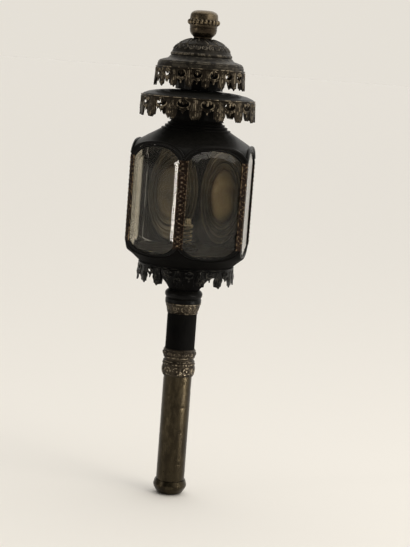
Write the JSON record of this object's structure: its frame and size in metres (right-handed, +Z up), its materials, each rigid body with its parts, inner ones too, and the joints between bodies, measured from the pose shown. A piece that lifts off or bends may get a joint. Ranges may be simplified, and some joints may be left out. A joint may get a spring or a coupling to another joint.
{
  "type": "carriage lamp",
  "caption": "Six-sided candle carriage lamp in black japanned metal with pierced galleries, bevelled panes, a rear door and a sprung candle tube in a brass stem.",
  "frame": {"origin": "centre of the flat lower end of the stem", "axes": "+Z up the stem; -Y through the front corner of the lantern; the door is in the back left face"},
  "size_m": [0.153, 0.1783, 0.6403],
  "materials": {
    "black_japan": "worn black japan",
    "aged_brass": "tarnished",
    "bronze_gallery": "dark and dusty",
    "copper_strip": "stamped, reddish and worn",
    "pane_glass": "clear, bevelled",
    "reflector_metal": "dulled silvering",
    "spring_wire": "bright wire",
    "tinned_steel": "dull tin"
  },
  "bodies": {
    "stem": {"ferrule": "aged_brass", "stem_sheath": "aged_brass", "candle_tube": "tinned_steel", "candle_nozzle": "aged_brass", "candle_spring": "spring_wire"},
    "collar": {"bayonet_collar": "aged_brass"},
    "follower": {"candle_follower": "tinned_steel"},
    "lantern": {"stem_socket": "black_japan", "bead_ring": "aged_brass", "stem_band": "aged_brass", "neck_ring": "black_japan", "base_bowl": "black_japan", "base_gallery": "black_japan", "chamber_floor": "tinned_steel", "corner_strip_1": "copper_strip", "corner_strip_2": "copper_strip", "corner_strip_3": "copper_strip", "corner_strip_4": "copper_strip", "corner_strip_5": "copper_strip", "corner_strip_6": "copper_strip", "window_rim_front_left": "black_japan", "window_rim_front_right": "black_japan", "window_rim_side_left": "black_japan", "window_rim_side_right": "black_japan", "glass_front_left": "pane_glass", "glass_front_right": "pane_glass", "glass_side_left": "pane_glass", "glass_side_right": "pane_glass", "back_panel": "black_japan", "back_reflector": "reflector_metal", "door_jamb": "black_japan", "hinge_jamb_lower": "black_japan", "hinge_jamb_upper": "black_japan", "hinge_pin_lower": "aged_brass", "hinge_pin_upper": "aged_brass", "roof_shell": "black_japan", "throat": "black_japan", "lower_canopy": "black_japan", "lower_gallery": "bronze_gallery", "vent_drum": "black_japan", "upper_canopy": "black_japan", "upper_gallery": "bronze_gallery", "dome_cap": "black_japan", "finial": "aged_brass", "finial_stud": "tinned_steel", "finial_nut": "tinned_steel"},
    "door": {"door_panel": "black_japan", "door_reflector": "reflector_metal", "hinge_door_lower": "black_japan", "hinge_door_upper": "black_japan", "door_knob": "aged_brass"}
  },
  "joints": [
    {"name": "lantern_lift", "type": "slide", "parent": "stem", "child": "lantern", "axis": [0, 0, 1], "range_m": [0, 0.15]},
    {"name": "collar_twist", "type": "hinge", "parent": "stem", "child": "collar", "pos_m": [0, 0, 0.1608], "axis": [0, 0, 1], "range_deg": [0, 40]},
    {"name": "follower_slide", "type": "slide", "parent": "stem", "child": "follower", "axis": [0, 0, 1], "range_m": [-0.12, 0], "stiffness_N_per_m": 20, "springref_m": 0.03, "deforming": ["candle_spring"]},
    {"name": "door_hinge", "type": "hinge", "parent": "lantern", "child": "door", "pos_m": [-0.07023, 0.05044, 0.398], "axis": [0, 0, 1], "range_deg": [0, 110]}
  ]
}
